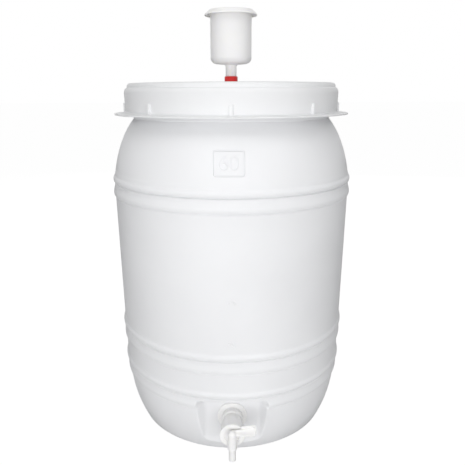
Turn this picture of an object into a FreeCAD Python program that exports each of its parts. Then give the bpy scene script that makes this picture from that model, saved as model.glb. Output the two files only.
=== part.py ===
import FreeCAD
import Part
import math
import os

# Wide-neck fermentation barrel with a screw lid, a cup airlock in a red grommet and a drain tap.
# Millimetres. Origin at the centre of the base, +Z up, the tap points to -Y.

VECTOR = FreeCAD.Vector
UP = VECTOR(0, 0, 1)
TO_FRONT = VECTOR(0, -1, 0)

# ---- barrel: heights -------------------------------------------------------------------
heel_height = 2.2
ring_groove_heights = (107.7, 172.3, 424.1)   # the dark line between the two ribs of each pair
shoulder_lower_rise = 53.9                    # from the top pair of ribs to the bend
shoulder_upper_rise = 35.6                    # from the bend to the root of the neck
neck_length = 48.4

# ---- barrel: radii ---------------------------------------------------------------------
wall = 3.5
base_flat_radius = 163.5
heel_radius = 167.4
bowl_top_radius = 188.9
low_wall_radius = 192.3
mid_wall_low_radius = 193.9
mid_wall_top_radius = 197.8
shoulder_foot_radius = 197.2
shoulder_bend_radius = 183.0
neck_radius = 162.0
rim_chamfer = 1.2
bowl_bulge = 4.3
shoulder_foot_tangent = 7.8                   # degrees from the vertical, where the shoulder starts
curve_runs = 5                                # straight runs that stand for one arc of the outline

# ---- barrel: the pair of ribs, measured from its groove and from the wall beside it ----
rib_top_above_groove = 11.0
rib_crest_above_groove = 4.2
cove_below_groove = 8.0
band_blend_below_groove = 13.0
band_edge_below_groove = 22.3
band_crest_above_edge = 4.8
rib_crest_out = 2.9
groove_out = 1.1
cove_out = 1.0
band_crest_out = 3.1
rib_shoulder_share = 0.72                     # how far out a rib already is, halfway up its side

# ---- barrel: heights that follow -------------------------------------------------------
shoulder_foot_height = ring_groove_heights[2] + rib_top_above_groove
shoulder_bend_height = shoulder_foot_height + shoulder_lower_rise
neck_root_height = shoulder_bend_height + shoulder_upper_rise
neck_rim_height = neck_root_height + neck_length

# ---- barrel: underside channel ---------------------------------------------------------
hub_radius = 60.0
channel_outer_radius = 135.0
channel_depth = 2.5
channel_draft = 3.0

# ---- barrel: tap pocket ----------------------------------------------------------------
pocket_depth = 24.3                           # how far the flat panel lies inside the low wall
pocket_half_width = 43.0
pocket_bottom = 22.0
pocket_top = 95.5
pocket_overreach = 17.7                       # how far the cut goes out past the wall
pocket_side_draft = 1.0                       # growth per millimetre towards the front
pocket_bottom_draft = 0.95
pocket_top_draft = 0.18
pocket_corner = 8.0
pocket_mouth_corner = 14.0
pocket_face = low_wall_radius - pocket_depth  # distance of the panel from the barrel's axis
pocket_reach = max(bowl_top_radius, low_wall_radius) + pocket_overreach - pocket_face

# ---- screw thread of neck and lid ------------------------------------------------------
thread_pitch = 12.0
thread_turns = 1.25
thread_start_below_rim = 28.0
thread_root_thickness = 5.2
thread_crest_thickness = 2.8
neck_thread_depth = 6.0
thread_overlap = 3.5                          # how far the two threads reach past each other
thread_drop = 4.0                             # the lid's thread lies this far under the neck's
thread_sink = 0.6                             # how deep a thread's root is let into its wall
thread_start_height = neck_rim_height - thread_start_below_rim

# ---- gasket ----------------------------------------------------------------------------
gasket_thickness = 4.0
gasket_inside_neck = 6.0                      # how far the gasket reaches in and out past the neck's wall
gasket_outside_neck = 3.0

# ---- lid: heights, from its rim down ---------------------------------------------------
lid_skin = 2.5
lid_rim_bevel = 3.1
lid_band_depth = 6.9
lid_shoulder_depth = 12.5
lid_flange_root_depth = 45.1
lid_flange_tip_depth = 46.8
lid_flange_thickness = 2.2
lid_panel_drop = 6.0                          # the panel lies this far under the rim
lid_rim_height = neck_rim_height + gasket_thickness + lid_skin

# ---- lid: radii ------------------------------------------------------------------------
skirt_thread_room = 4.6                       # from the neck's thread to the skirt's bore
skirt_foot_wall = 2.4
skirt_shoulder_wall = 3.3
flange_width = 17.6
band_outside_neck = 9.0
rim_bevel_width = 3.5
well_inside_neck = 10.0
lid_shoulder_bulge = 1.2
bead_radius = 95.0
bead_width = 6.0
bead_height = 1.2
skirt_rib_pitch = 42.5                        # degrees; seven ribs to the front and sides, one behind
skirt_rib_pairs = 3
skirt_rib_width = 5.4
skirt_rib_height = 14.6
skirt_rib_out = 2.6
boss_wall = 13.3                              # from the grommet's hole to the boss's foot
boss_draft = 1.5
lid_skirt_bore_radius = neck_radius + neck_thread_depth + skirt_thread_room
lid_skirt_foot_radius = lid_skirt_bore_radius + skirt_foot_wall
lid_shoulder_radius = lid_skirt_bore_radius + skirt_shoulder_wall
lid_flange_radius = lid_skirt_foot_radius + flange_width
lid_band_radius = neck_radius + band_outside_neck
lid_rim_edge_radius = lid_band_radius - rim_bevel_width
lid_well_radius = neck_radius - well_inside_neck

# ---- airlock grommet -------------------------------------------------------------------
grommet_wall = 4.45                           # from the spigot's hole to the flange's edge
grommet_height = 11.1
grommet_neck_wall = 2.15
grommet_neck_clearance = 0.1
grommet_lip_out = 1.6
grommet_lip_height = 4.0
grommet_chamfer = 0.8

# ---- airlock ---------------------------------------------------------------------------
spigot_radius = 6.4
spigot_length = 30.0
spigot_clearance = 0.05
spigot_chamfer = 1.0
spigot_wall = 1.9
stem_radius = 9.0
stem_height = 18.0
stem_fillet = 3.0
cup_radius = 33.6
cup_height = 82.1                             # from the top of the stem to the cup's rim
cup_wall = 1.8
cup_corner = 10.0
cup_bottom_rise = 2.5
cup_floor_thickness = 4.4
cup_floor_corner = 6.0
riser_wall = 2.5
riser_height = 49.0
bell_gap = 6.0                                # from the riser to the bell's bore
bell_wall = 1.3
bell_headroom = 6.7                           # from the riser's top to the bell's crown
bell_crown_round = 2.4
bell_seat_gap = 0.3
bell_notches = 4
bell_notch_width = 4.0
bell_notch_height = 5.0
cap_skin = 1.8
cap_top_overhang = 1.0                        # past the cup's wall, at the top of the flare
cap_lip_overhang = 8.9                        # and at the lip
cap_height = 8.2
cap_lip_height = 1.6
cap_ring_clearance = 0.3
cap_ring_depth = 5.0
cap_ring_wall = 1.5
cap_vents = 6
cap_vent_radius = 1.3
cap_vent_circle = 21.0
spigot_hole_radius = spigot_radius + spigot_clearance
grommet_radius = spigot_hole_radius + grommet_wall
grommet_neck_radius = spigot_hole_radius + grommet_neck_wall
grommet_hole_radius = grommet_neck_radius + grommet_neck_clearance
grommet_lip_radius = grommet_neck_radius + grommet_lip_out
boss_radius = grommet_hole_radius + boss_wall
gas_bore_radius = spigot_radius - spigot_wall
riser_radius = gas_bore_radius + riser_wall
bell_bore_radius = riser_radius + bell_gap

# ---- tap: height of its axis, and radii from the shank outwards ------------------------
tap_height = 63.7
shank_radius = 13.1
shank_wall = 4.6
panel_hole_clearance = 0.4
washer_hole_clearance = 0.2
nut_thread_clearance = 0.05
outer_washer_width = 10.3
inner_washer_width = 7.7
nut_wall = 4.9                                # from the shank to a flat of the nut
nut_flange_width = 7.4
collar_width = 3.6
tap_neck_step = 0.7
drum_step = 3.8                               # from the tap's neck to its drum
disc_step = 1.7                               # from the drum to the front disc
disc_face_width = 7.1

# ---- tap: lengths along its axis -------------------------------------------------------
shank_length = 22.0                           # behind the outer washer's front face
outer_washer_thickness = 4.0
outer_washer_chamfer = 1.1
inner_washer_thickness = 2.0
nut_thickness = 8.0
nut_flange_thickness = 2.0
collar_length = 10.4
collar_chamfer = 1.0
tap_neck_length = 16.4
drum_length = 18.7
drum_chamfer = 0.8
disc_thickness = 3.5
disc_chamfer = 0.7
dish_depth = 1.5
valve_wall = 3.0                              # closes the drum behind the dish

# ---- tap: upright sleeve ---------------------------------------------------------------
sleeve_wall = 1.35
sleeve_ahead = 9.0                            # axis of the sleeve in front of the disc's face
sleeve_top_above_axis = 4.7
sleeve_length = 20.4
sleeve_lip_out = 0.45
sleeve_lip_height = 2.2
sleeve_lip_chamfer = 0.4
port_radius = 3.2
port_below_axis = 5.5
port_boss_wall = 3.2

# ---- tap plug --------------------------------------------------------------------------
plug_clearance = 0.05
plug_radius = 5.5
plug_head_inset = 0.2                         # the head is this much slimmer than the sleeve
plug_head_height = 3.2
plug_bead_out = 0.55
plug_bead_height = 1.8
plug_bead_chamfer = 0.5
plug_bead_gap = 0.3
spout_step = 0.1                              # the spout is this much slimmer than the plug
spout_length = 20.5
spout_chamfer = 1.1
spout_wall = 1.9
spout_bore_past_port = 0.8
lever_root_width = 8.6
lever_tip_width = 12.8
lever_reach = 33.7
lever_thickness = 3.0
lever_tip_round = 2.5
lever_tilt = 30.0                             # the blade faces up and to the front
lever_rise = 5.0
lever_above_seam = 5.9
lever_panel_margin = 1.7
lever_panel_depth = 0.5
lever_lip_start = 14.0
lever_lip_width = 2.6
lever_lip_height = 3.4
lever_lip_end_share = 0.62                    # how far the lip comes round the blade's end

# ---- tap: sizes that follow ------------------------------------------------------------
shank_bore_radius = shank_radius - shank_wall
washer_hole_radius = shank_radius + washer_hole_clearance
outer_washer_radius = washer_hole_radius + outer_washer_width
inner_washer_radius = washer_hole_radius + inner_washer_width
nut_flange_radius = shank_radius + nut_flange_width
collar_radius = shank_radius + collar_width
tap_neck_radius = shank_radius + tap_neck_step
drum_radius = tap_neck_radius + drum_step
disc_radius = drum_radius + disc_step
dish_radius = disc_radius - disc_face_width
plug_bore_radius = plug_radius + plug_clearance
sleeve_radius = plug_bore_radius + sleeve_wall
sleeve_lip_radius = sleeve_radius + sleeve_lip_out
port_boss_radius = port_radius + port_boss_wall
plug_head_radius = sleeve_radius - plug_head_inset
spout_radius = plug_radius - spout_step
spout_bore_radius = spout_radius - spout_wall
plug_bead_radius = spout_radius + plug_bead_out
sleeve_top = tap_height + sleeve_top_above_axis
port_height = tap_height - port_below_axis


# ---- outline helpers -------------------------------------------------------------------
def point(radius, height):
    return VECTOR(radius, 0, height)


def bulge_point(start, end, bulge):
    """The point this far out from the middle of a chord, to the right of the way it goes."""
    along = end - start
    side = VECTOR(along.z, 0, -along.x).normalize()
    return (start + end) * 0.5 + side * bulge


def curved(start, end, bulge):
    """Short straight runs along the arc that stands out of its chord by bulge, or into it if negative."""
    along = end - start
    height = abs(bulge)
    radius = (along.Length ** 2 / 4 + height ** 2) / (2 * height)
    corners = []
    for step in range(curve_runs + 1):
        share = step / curve_runs
        rise = math.sqrt(radius ** 2 - ((share - 0.5) * along.Length) ** 2) - radius + height
        corners.append(bulge_point(start, end, math.copysign(rise, bulge)) + along * (share - 0.5))
    return lines_through(corners)


def bulge_for_tangent(start, end, degrees):
    """Bulge of the arc from start to end that leaves start at this angle from the vertical."""
    along = end - start
    chord_angle = math.atan2(start.x - end.x, end.z - start.z)
    half_turn = chord_angle - math.radians(degrees)
    return math.tan(half_turn / 2) * along.Length / 2


def end_tangent(start, end, degrees):
    """Angle from the vertical at which that arc arrives at its end."""
    chord_angle = math.degrees(math.atan2(start.x - end.x, end.z - start.z))
    return 2 * chord_angle - degrees


def line(start, end):
    return Part.LineSegment(start, end).toShape()


def lines_through(points):
    return [line(a, b) for a, b in zip(points, points[1:])]


def turned(edges):
    """Solid of revolution about Z from a closed chain of edges in the XZ plane."""
    face = Part.Face(Part.Wire(edges))
    return face.revolve(VECTOR(0, 0, 0), UP, 360)


def turned_polygon(*corners):
    points = [point(r, z) for r, z in corners]
    return turned(lines_through(points + points[:1]))


def ring(inner, outer, bottom, top):
    return turned_polygon((inner, bottom), (outer, bottom), (outer, top), (inner, top))


def front_cylinder(radius, back, front, height):
    """Cylinder along Y between two distances in front of the barrel's axis."""
    return Part.makeCylinder(radius, front - back, VECTOR(0, -back, height), TO_FRONT)


def upright_cylinder(radius, bottom, top, x=0, y=0):
    return Part.makeCylinder(radius, top - bottom, VECTOR(x, y, bottom))


def circle_edges(solid, radius, tolerance=0.01):
    circles = [e for e in solid.Edges if isinstance(e.Curve, Part.Circle)]
    return [e for e in circles if abs(e.Curve.Radius - radius) < tolerance]


def circles_at(solid, radius, tolerance=0.01, **place):
    """The circular edges of this radius whose centre has the given x, y or z."""
    found = []
    for edge in circle_edges(solid, radius):
        centre = edge.Curve.Center
        if all(abs(getattr(centre, axis) - value) < tolerance for axis, value in place.items()):
            found.append(edge)
    return found


def export(shape, node):
    if shape.ShapeType == "Compound" and len(shape.Solids) == 1:
        shape = shape.Solids[0]
    assert shape.isValid(), node
    shape.exportStep(os.path.join("parts", node + ".step"))
    print(node, len(shape.Solids), "solid", round(shape.Volume / 1000, 2), "cm3")


# ---- thread ----------------------------------------------------------------------------
def thread_ridge(root_radius, crest_radius, start_height):
    """One helical ridge of trapezoid section, from the root circle to the crest circle."""
    outward = 1 if crest_radius > root_radius else -1
    sunk_root = root_radius - outward * thread_sink
    half_root = thread_root_thickness / 2
    half_crest = thread_crest_thickness / 2
    corners = [
        point(sunk_root, start_height - half_root),
        point(crest_radius, start_height - half_crest),
        point(crest_radius, start_height + half_crest),
        point(sunk_root, start_height + half_root),
    ]
    section = Part.Wire(lines_through(corners + corners[:1]))
    helix = Part.makeHelix(thread_pitch, thread_pitch * thread_turns, root_radius)
    helix.translate(VECTOR(0, 0, start_height))
    sweep = Part.BRepOffsetAPI.MakePipeShell(Part.Wire(helix.Edges))
    sweep.setFrenetMode(True)
    sweep.add(section)
    sweep.build()
    sweep.makeSolid()
    return sweep.shape()


# ---- barrel ----------------------------------------------------------------------------
def rib_pair(groove, radius_below, radius_above):
    """Outline of one pair of ribs, from its lower edge upwards: a sloping band, a cove and a round rib."""
    edge = groove - band_edge_below_groove
    top = groove + rib_top_above_groove

    def beside_wall(height, out):
        share = (height - edge) / (top - edge)
        return point(radius_below + (radius_above - radius_below) * share + out, height)

    band_crest = edge + band_crest_above_edge
    rib_crest = groove + rib_crest_above_groove
    rib_side_out = groove_out + (rib_crest_out - groove_out) * rib_shoulder_share
    return lines_through([
        beside_wall(edge, 0),
        beside_wall(edge + band_crest_above_edge / 3, band_crest_out * rib_shoulder_share),
        beside_wall(band_crest, band_crest_out),
        beside_wall(groove - band_blend_below_groove, (band_crest_out + cove_out) / 2),
        beside_wall(groove - cove_below_groove, cove_out),
        beside_wall(groove, groove_out),
        beside_wall(groove + rib_crest_above_groove / 3, rib_side_out),
        beside_wall(rib_crest, rib_crest_out),
        beside_wall((rib_crest + top) / 2, rib_crest_out * rib_shoulder_share),
        beside_wall(top, 0),
    ])


def shoulder(foot, bend, root):
    """Two tangent arcs that close the body in to the neck."""
    first = bulge_for_tangent(foot, bend, shoulder_foot_tangent)
    bend_tangent = end_tangent(foot, bend, shoulder_foot_tangent)
    second = bulge_for_tangent(bend, root, bend_tangent)
    return curved(foot, bend, first) + curved(bend, root, second)


def barrel_outline():
    low_groove, mid_groove, top_groove = ring_groove_heights
    low_edge = low_groove - band_edge_below_groove
    heel = point(heel_radius, heel_height)
    bowl_top = point(bowl_top_radius, low_edge)
    edges = lines_through([
        point(0, 0),
        point(hub_radius, 0),
        point(hub_radius + channel_draft, channel_depth),
        point(channel_outer_radius - channel_draft, channel_depth),
        point(channel_outer_radius, 0),
        point(base_flat_radius, 0),
        heel,
    ])
    edges += curved(heel, bowl_top, bowl_bulge)
    edges += rib_pair(low_groove, bowl_top_radius, low_wall_radius)
    low_wall_foot = point(low_wall_radius, low_groove + rib_top_above_groove)
    low_wall_head = point(low_wall_radius, mid_groove - band_edge_below_groove)
    edges.append(line(low_wall_foot, low_wall_head))
    edges += rib_pair(mid_groove, low_wall_radius, mid_wall_low_radius)
    mid_wall_foot = point(mid_wall_low_radius, mid_groove + rib_top_above_groove)
    mid_wall_head = point(mid_wall_top_radius, top_groove - band_edge_below_groove)
    edges.append(line(mid_wall_foot, mid_wall_head))
    edges += rib_pair(top_groove, mid_wall_top_radius, shoulder_foot_radius)
    shoulder_foot = point(shoulder_foot_radius, shoulder_foot_height)
    shoulder_bend = point(shoulder_bend_radius, shoulder_bend_height)
    neck_root = point(neck_radius, neck_root_height)
    edges += shoulder(shoulder_foot, shoulder_bend, neck_root)
    edges += lines_through([
        neck_root,
        point(neck_radius, neck_rim_height - rim_chamfer),
        point(neck_radius - rim_chamfer, neck_rim_height),
        point(0, neck_rim_height),
        point(0, 0),
    ])
    return edges


def cavity_outline():
    """Inside of the barrel: the outer form without its ribs, one wall further in."""
    low_groove, mid_groove, top_groove = ring_groove_heights
    floor = channel_depth + wall
    floor_edge = point(base_flat_radius - wall, floor)
    bowl_top = point(bowl_top_radius - wall, low_groove - band_edge_below_groove)
    low_wall_foot = point(low_wall_radius - wall, low_groove + rib_top_above_groove)
    low_wall_head = point(low_wall_radius - wall, mid_groove - band_edge_below_groove)
    mid_wall_foot = point(mid_wall_low_radius - wall, mid_groove + rib_top_above_groove)
    mid_wall_head = point(mid_wall_top_radius - wall, top_groove - band_edge_below_groove)
    shoulder_foot = point(shoulder_foot_radius - wall, shoulder_foot_height)
    shoulder_bend = point(shoulder_bend_radius - wall, shoulder_bend_height - wall / 2)
    neck_foot = point(neck_radius - wall, neck_root_height - wall)
    above_rim = neck_rim_height + wall
    edges = lines_through([
        point(0, floor),
        floor_edge,
        bulge_point(floor_edge, bowl_top, bowl_bulge),
        bowl_top,
        low_wall_foot,
        low_wall_head,
        mid_wall_foot,
        mid_wall_head,
        shoulder_foot,
    ])
    edges += shoulder(shoulder_foot, shoulder_bend, neck_foot)
    neck_top = point(neck_radius - wall, above_rim)
    edges += lines_through([neck_foot, neck_top, point(0, above_rim), point(0, floor)])
    return edges


def rounded_frame(front, half_width, bottom, top, corner):
    """Closed rounded rectangle in the plane at this distance in front of the axis."""
    y = -front
    diagonal = corner * (1 - math.sqrt(0.5))
    left, right = -half_width, half_width
    arcs = [
        ((right - corner, bottom), (right - diagonal, bottom + diagonal), (right, bottom + corner)),
        ((right, top - corner), (right - diagonal, top - diagonal), (right - corner, top)),
        ((left + corner, top), (left + diagonal, top - diagonal), (left, top - corner)),
        ((left, bottom + corner), (left + diagonal, bottom + diagonal), (left + corner, bottom)),
    ]
    edges = []
    for number, corner_points in enumerate(arcs):
        start, middle, end = [VECTOR(x, y, z) for x, z in corner_points]
        edges.append(Part.Arc(start, middle, end).toShape())
        next_start = arcs[(number + 1) % len(arcs)][0]
        edges.append(line(end, VECTOR(next_start[0], y, next_start[1])))
    return Part.Wire(edges)


def offset_by_draft(thickness, draft):
    """How far a drafted wall moves, in its own plane, when it is set back by a thickness."""
    return thickness * (math.sqrt(1 + draft * draft) - draft)


def pocket(set_back):
    """The tap pocket as a flaring block; set_back gives the same form one wall further in."""
    sections = []
    side_offset = offset_by_draft(set_back, pocket_side_draft)
    bottom_offset = offset_by_draft(set_back, pocket_bottom_draft)
    top_offset = offset_by_draft(set_back, pocket_top_draft)
    for forward, corner in ((0, pocket_corner), (pocket_reach, pocket_mouth_corner)):
        sides = pocket_half_width + forward * pocket_side_draft + side_offset
        bottom = pocket_bottom - forward * pocket_bottom_draft - bottom_offset
        top = pocket_top + forward * pocket_top_draft + top_offset
        sections.append(rounded_frame(pocket_face - set_back + forward, sides, bottom, top, corner))
    return Part.makeLoft(sections, True, True)


def make_barrel():
    body = turned(barrel_outline())
    cavity = turned(cavity_outline()).cut(pocket(wall))
    thread = thread_ridge(neck_radius, neck_radius + neck_thread_depth, thread_start_height)
    hole_radius = shank_radius + panel_hole_clearance
    tap_hole = front_cylinder(hole_radius, pocket_face - 2 * wall, pocket_face + wall, tap_height)
    return body.cut(pocket(0)).fuse(thread).cut(cavity).cut(tap_hole)


def barrel_sections():
    """The one blow-moulded barrel, cut level into simple rings and a floor that meet face to face."""
    low_groove, mid_groove, top_groove = ring_groove_heights
    low_wall_middle = (low_groove + rib_top_above_groove + mid_groove - band_edge_below_groove) / 2
    seams = {
        "barrel_base": channel_depth + wall,
        "barrel_bowl": low_wall_middle,
        "barrel_wall": shoulder_foot_height,
        "barrel_crown": neck_root_height,
        "barrel_neck": neck_rim_height,
    }
    barrel = make_barrel()
    bottom = 0
    for node, top in seams.items():
        yield node, barrel.common(upright_cylinder(2 * mid_wall_top_radius, bottom, top))
        bottom = top


# ---- lid -------------------------------------------------------------------------------
band_foot_height = lid_rim_height - lid_band_depth
lid_shoulder_height = lid_rim_height - lid_shoulder_depth
flange_root_height = lid_rim_height - lid_flange_root_depth
flange_tip_height = lid_rim_height - lid_flange_tip_depth
panel_top = lid_rim_height - lid_panel_drop
panel_bottom = panel_top - lid_skin
rim_underside = lid_rim_height - lid_skin
boss_top = lid_rim_height
boss_underside = boss_top - lid_skin


def lid_outline():
    flange_root = point(lid_skirt_foot_radius, flange_root_height)
    flange_tip = point(lid_flange_radius, flange_tip_height)
    band_foot = point(lid_band_radius, band_foot_height)
    band_bore = lid_band_radius - lid_skin
    shoulder_point = point(lid_shoulder_radius, lid_shoulder_height)
    skirt_foot = flange_root_height - lid_flange_thickness
    edges = lines_through([
        point(grommet_hole_radius, boss_underside),
        point(grommet_hole_radius, boss_top),
        point(boss_radius - boss_draft, boss_top),
        point(boss_radius, panel_top),
        point(bead_radius - bead_width / 2, panel_top),
        point(bead_radius - bead_width / 4, panel_top + bead_height),
        point(bead_radius + bead_width / 4, panel_top + bead_height),
        point(bead_radius + bead_width / 2, panel_top),
        point(lid_well_radius, panel_top),
        point(lid_well_radius + lid_skin / 2, lid_rim_height),
        point(lid_rim_edge_radius, lid_rim_height),
        point(lid_band_radius, lid_rim_height - lid_rim_bevel),
        band_foot,
        bulge_point(shoulder_point, band_foot, lid_shoulder_bulge),
        shoulder_point,
        flange_root,
        flange_tip,
        point(lid_flange_radius, flange_tip_height - lid_flange_thickness),
        point(lid_skirt_bore_radius, skirt_foot),
        point(lid_skirt_bore_radius, lid_shoulder_height - lid_skin / 4),
        point(band_bore, band_foot_height - lid_skin / 2),
        point(band_bore, rim_underside - lid_skin),
        point(band_bore - lid_skin, rim_underside),
        point(lid_well_radius + lid_skin, rim_underside),
        point(lid_well_radius + lid_skin, panel_bottom),
        point(boss_radius - lid_skin, panel_bottom),
        point(boss_radius - boss_draft - lid_skin, boss_underside),
        point(grommet_hole_radius, boss_underside),
    ])
    return edges


def skirt_rib():
    """Grip rib on the lid's skirt, standing on the flange, with a round top."""
    half = skirt_rib_width / 2
    foot = flange_root_height - lid_flange_thickness / 2
    crown = flange_root_height + skirt_rib_height - half
    depth = lid_shoulder_radius + skirt_rib_out - lid_skirt_bore_radius - lid_skin / 2
    back = -(lid_skirt_bore_radius + lid_skin / 2)
    block = Part.makeBox(skirt_rib_width, depth, crown - foot, VECTOR(-half, back - depth, foot))
    crown_round = Part.makeCylinder(half, depth, VECTOR(0, back, crown), TO_FRONT)
    return block.fuse(crown_round)


def make_lid():
    lid = turned(lid_outline())
    crest_radius = neck_radius + neck_thread_depth - thread_overlap
    lid_thread = thread_ridge(lid_skirt_bore_radius, crest_radius, thread_start_height - thread_drop)
    rib = skirt_rib()
    angles = [number * skirt_rib_pitch for number in range(-skirt_rib_pairs, skirt_rib_pairs + 1)]
    ribs = []
    for angle in angles + [180]:
        copy = rib.copy()
        copy.rotate(VECTOR(0, 0, 0), UP, angle)
        ribs.append(copy)
    return lid.fuse([lid_thread] + ribs)


def make_gasket():
    inner_radius = neck_radius - gasket_inside_neck
    outer_radius = neck_radius + gasket_outside_neck
    return ring(inner_radius, outer_radius, neck_rim_height, rim_underside)


# ---- grommet ---------------------------------------------------------------------------
grommet_top = boss_top + grommet_height


def make_grommet():
    lip_bottom = boss_underside - grommet_lip_height
    grommet = turned_polygon(
        (spigot_hole_radius, lip_bottom),
        (grommet_neck_radius, lip_bottom),
        (grommet_lip_radius, boss_underside - grommet_lip_height / 2),
        (grommet_lip_radius, boss_underside),
        (grommet_neck_radius, boss_underside),
        (grommet_neck_radius, boss_top),
        (grommet_radius, boss_top),
        (grommet_radius, grommet_top),
        (spigot_hole_radius, grommet_top),
    )
    return grommet.makeChamfer(grommet_chamfer, circle_edges(grommet, grommet_radius))


# ---- airlock ---------------------------------------------------------------------------
stem_bottom = grommet_top
cup_bottom = stem_bottom + stem_height
cup_floor = cup_bottom + cup_floor_thickness
cup_rim = cup_bottom + cup_height
riser_top = cup_floor + riser_height
bell_bottom = cup_floor + bell_seat_gap
bell_top = riser_top + bell_headroom + bell_wall


def make_cup():
    corner_height = cup_bottom + cup_bottom_rise
    outside = turned_polygon(
        (0, stem_bottom),
        (stem_radius, stem_bottom),
        (stem_radius, cup_bottom),
        (cup_radius, corner_height),
        (cup_radius, cup_rim),
        (0, cup_rim),
    )
    outside = outside.makeFillet(stem_fillet, circles_at(outside, stem_radius, z=cup_bottom))
    outside = outside.makeFillet(cup_corner, circles_at(outside, cup_radius, z=corner_height))
    cup_bore = cup_radius - cup_wall
    inside = ring(riser_radius, cup_bore, cup_floor, cup_rim + cup_wall)
    inside = inside.makeFillet(cup_floor_corner, circles_at(inside, cup_bore, z=cup_floor))
    above_rim = cup_rim + cup_wall
    above_riser = upright_cylinder(riser_radius + cup_wall, riser_top, above_rim)
    spigot_bottom = stem_bottom - spigot_length
    spigot = upright_cylinder(spigot_radius, spigot_bottom, stem_bottom)
    spigot = spigot.makeChamfer(spigot_chamfer, circles_at(spigot, spigot_radius, z=spigot_bottom))
    bore = upright_cylinder(gas_bore_radius, spigot_bottom - cup_wall, above_rim)
    return outside.fuse(spigot).cut(inside).cut(above_riser).cut(bore)


def make_bell():
    outer_radius = bell_bore_radius + bell_wall
    outside = upright_cylinder(outer_radius, bell_bottom, bell_top)
    outside = outside.makeFillet(bell_crown_round, circles_at(outside, outer_radius, z=bell_top))
    inside = upright_cylinder(bell_bore_radius, bell_bottom, bell_top - bell_wall)
    bell = outside.cut(inside)
    for number in range(bell_notches // 2):
        slot = Part.makeBox(
            4 * outer_radius, bell_notch_width, bell_notch_height,
            VECTOR(-2 * outer_radius, -bell_notch_width / 2, bell_bottom))
        slot.rotate(VECTOR(0, 0, 0), UP, number * 360 / bell_notches)
        bell = bell.cut(slot)
    return bell


def make_cap():
    top = cup_rim + cap_skin
    lip_bottom = top - cap_height
    lip_top = lip_bottom + cap_lip_height
    ring_radius = cup_radius - cup_wall - cap_ring_clearance
    flare_top_radius = cup_radius + cap_top_overhang
    lip_radius = cup_radius + cap_lip_overhang
    cap = turned_polygon(
        (0, cup_rim),
        (ring_radius - cap_ring_wall, cup_rim),
        (ring_radius - cap_ring_wall, cup_rim - cap_ring_depth),
        (ring_radius, cup_rim - cap_ring_depth),
        (ring_radius, cup_rim),
        (flare_top_radius, cup_rim),
        (lip_radius - cap_skin, lip_top),
        (lip_radius - cap_skin, lip_bottom),
        (lip_radius, lip_bottom),
        (lip_radius, lip_top),
        (flare_top_radius + cap_skin / 2, top),
        (0, top),
    )
    for number in range(cap_vents):
        vent = upright_cylinder(cap_vent_radius, cup_rim - cap_skin, top + cap_skin, x=cap_vent_circle)
        vent.rotate(VECTOR(0, 0, 0), UP, number * 360 / cap_vents)
        cap = cap.cut(vent)
    return cap


# ---- tap: distances in front of the barrel's axis --------------------------------------
washer_front = pocket_face + outer_washer_thickness
collar_front = washer_front + collar_length
drum_back = collar_front + tap_neck_length
drum_front = drum_back + drum_length
disc_front = drum_front + disc_thickness
plug_axis = disc_front + sleeve_ahead
panel_inside = pocket_face - wall
sleeve_bottom = sleeve_top - sleeve_length


def make_outer_washer():
    washer = front_cylinder(outer_washer_radius, pocket_face, washer_front, tap_height)
    front_rim = circles_at(washer, outer_washer_radius, y=-washer_front)
    washer = washer.makeChamfer(outer_washer_chamfer, front_rim)
    return washer.cut(front_cylinder(washer_hole_radius, panel_inside, collar_front, tap_height))


def make_inner_washer():
    back = panel_inside - inner_washer_thickness
    washer = front_cylinder(inner_washer_radius, back, panel_inside, tap_height)
    return washer.cut(front_cylinder(washer_hole_radius, back - 1, pocket_face, tap_height))


def make_nut():
    front = panel_inside - inner_washer_thickness
    back = front - nut_thickness
    corner_radius = 2 * (shank_radius + nut_wall) / math.sqrt(3)
    corners = []
    for number in range(7):
        angle = math.radians(60 * number + 30)
        x = corner_radius * math.cos(angle)
        z = tap_height + corner_radius * math.sin(angle)
        corners.append(VECTOR(x, -back, z))
    hexagon = Part.Face(Part.Wire(lines_through(corners))).extrude(TO_FRONT * nut_thickness)
    flange = front_cylinder(nut_flange_radius, front - nut_flange_thickness, front, tap_height)
    bore = front_cylinder(shank_radius + nut_thread_clearance, back - 1, front + 1, tap_height)
    return hexagon.fuse(flange).cut(bore)


def make_tap_body():
    shank_end = washer_front - shank_length
    collar = front_cylinder(collar_radius, washer_front, collar_front, tap_height)
    collar = collar.makeChamfer(collar_chamfer, circle_edges(collar, collar_radius))
    drum = front_cylinder(drum_radius, drum_back, drum_front, tap_height)
    drum = drum.makeChamfer(drum_chamfer, circle_edges(drum, drum_radius))
    disc = front_cylinder(disc_radius, drum_front, disc_front, tap_height)
    disc = disc.makeChamfer(disc_chamfer, circle_edges(disc, disc_radius))
    dish = front_cylinder(dish_radius, disc_front - dish_depth, disc_front + 1, tap_height)
    sleeve = upright_cylinder(sleeve_radius, sleeve_bottom, sleeve_top, y=-plug_axis)
    lip_top = sleeve_bottom + sleeve_lip_height
    sleeve_lip = upright_cylinder(sleeve_lip_radius, sleeve_bottom, lip_top, y=-plug_axis)
    sleeve_lip = sleeve_lip.makeChamfer(sleeve_lip_chamfer, circle_edges(sleeve_lip, sleeve_lip_radius))
    body = front_cylinder(shank_radius, shank_end, washer_front + 1, tap_height)
    body = body.fuse([
        collar,
        front_cylinder(tap_neck_radius, collar_front - 1, drum_back + 1, tap_height),
        drum,
        disc.cut(dish),
        front_cylinder(port_boss_radius, drum_front, plug_axis, port_height),
        sleeve,
        sleeve_lip,
    ])
    chamber_front = disc_front - dish_depth - valve_wall
    chamber = front_cylinder(shank_bore_radius, shank_end - 1, chamber_front, tap_height)
    port = front_cylinder(port_radius, chamber_front - 1, plug_axis, port_height)
    plug_bore = upright_cylinder(plug_bore_radius, sleeve_bottom - 1, sleeve_top + 1, y=-plug_axis)
    return body.cut(chamber).cut(port).cut(plug_bore)


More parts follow.
